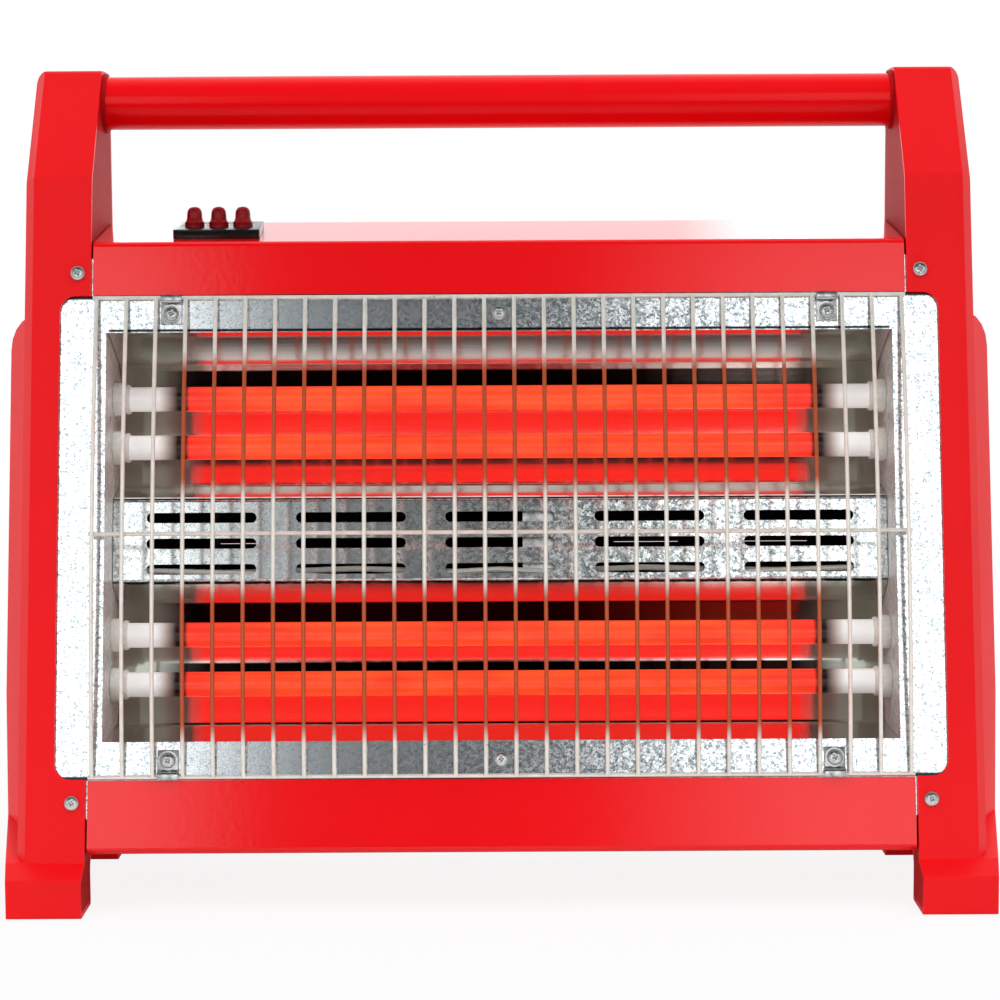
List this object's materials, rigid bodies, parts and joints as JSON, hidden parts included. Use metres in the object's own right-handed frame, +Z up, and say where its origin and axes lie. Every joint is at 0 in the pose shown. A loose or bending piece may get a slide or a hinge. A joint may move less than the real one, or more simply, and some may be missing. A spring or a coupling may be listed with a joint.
{
  "type": "electric bar heater",
  "caption": "Free-standing quartz bar heater with red moulded side cheeks, carrying tube, twin reflector troughs, slotted band, wire grille and tilting lever switches",
  "frame": {"origin": "centre of the footprint, on the floor", "axes": "+X to the right seen from the front, +Y to the rear, +Z up"},
  "size_m": [0.488, 0.156, 0.399],
  "materials": {
    "red_moulding": "moulded ABS, gloss",
    "red_sheet": "powder-coated steel sheet, gloss",
    "galvanised": "hot-dip galvanised sheet with spangle",
    "reflector": "bright rolled reflector sheet",
    "quartz": "milky fused quartz",
    "element": "wound resistance wire, glowing",
    "ceramic": "steatite, unglazed",
    "brass": "plated brass",
    "grille_wire": "bright plated wire",
    "clip_steel": "zinc-plated steel",
    "screw_zinc": "zinc-plated steel",
    "black_plastic": "moulded nylon, black",
    "red_lens": "translucent polycarbonate, red",
    "lead_pale": "silicone and glass-fibre sleeving",
    "lead_dark": "heat-resistant sleeving",
    "block_plastic": "moulded nylon, natural",
    "pad_rubber": "moulded rubber"
  },
  "bodies": {
    "heater": {"left_cheek": "red_moulding", "right_cheek": "red_moulding", "left_liner": "red_moulding", "right_liner": "red_moulding", "handle_tube": "red_sheet", "top_housing": "red_sheet", "bottom_pan": "red_sheet", "back_cover": "red_sheet", "back_screws": "screw_zinc", "case_frame": "galvanised", "left_end_plate": "galvanised", "right_end_plate": "galvanised", "upper_reflector": "reflector", "lower_reflector": "reflector", "vent_band": "galvanised", "quartz_tube_1": "quartz", "quartz_tube_2": "quartz", "quartz_tube_3": "quartz", "quartz_tube_4": "quartz", "heating_coil_1": "element", "heating_coil_2": "element", "heating_coil_3": "element", "heating_coil_4": "element", "left_ceramics": "ceramic", "right_ceramics": "ceramic", "left_terminals": "brass", "right_terminals": "brass", "common_bus": "brass", "pair_bus": "brass", "wire_grille": "grille_wire", "grille_clips": "clip_steel", "clip_screws": "screw_zinc", "band_screws": "screw_zinc", "cheek_screws": "screw_zinc", "switch_housing": "black_plastic", "switch_leads": "lead_pale", "rear_leads": "lead_pale", "block_leads": "lead_dark", "terminal_block": "block_plastic", "thermal_cutout": "clip_steel", "tilt_switch": "black_plastic", "inlet_bush": "black_plastic", "foot_pads": "pad_rubber"},
    "key_1": {"switch_key_1": "red_lens"},
    "key_2": {"switch_key_2": "red_lens"},
    "key_3": {"switch_key_3": "red_lens"}
  },
  "joints": [
    {"name": "key_1_tilt", "type": "hinge", "parent": "heater", "child": "key_1", "pos_m": [-0.1489, 0.01847, 0.32027], "axis": [1, 0, 0], "range_deg": [0, 24]},
    {"name": "key_2_tilt", "type": "hinge", "parent": "heater", "child": "key_2", "pos_m": [-0.1371, 0.01847, 0.32027], "axis": [1, 0, 0], "range_deg": [0, 24]},
    {"name": "key_3_tilt", "type": "hinge", "parent": "heater", "child": "key_3", "pos_m": [-0.1253, 0.01847, 0.32027], "axis": [1, 0, 0], "range_deg": [0, 24]}
  ]
}
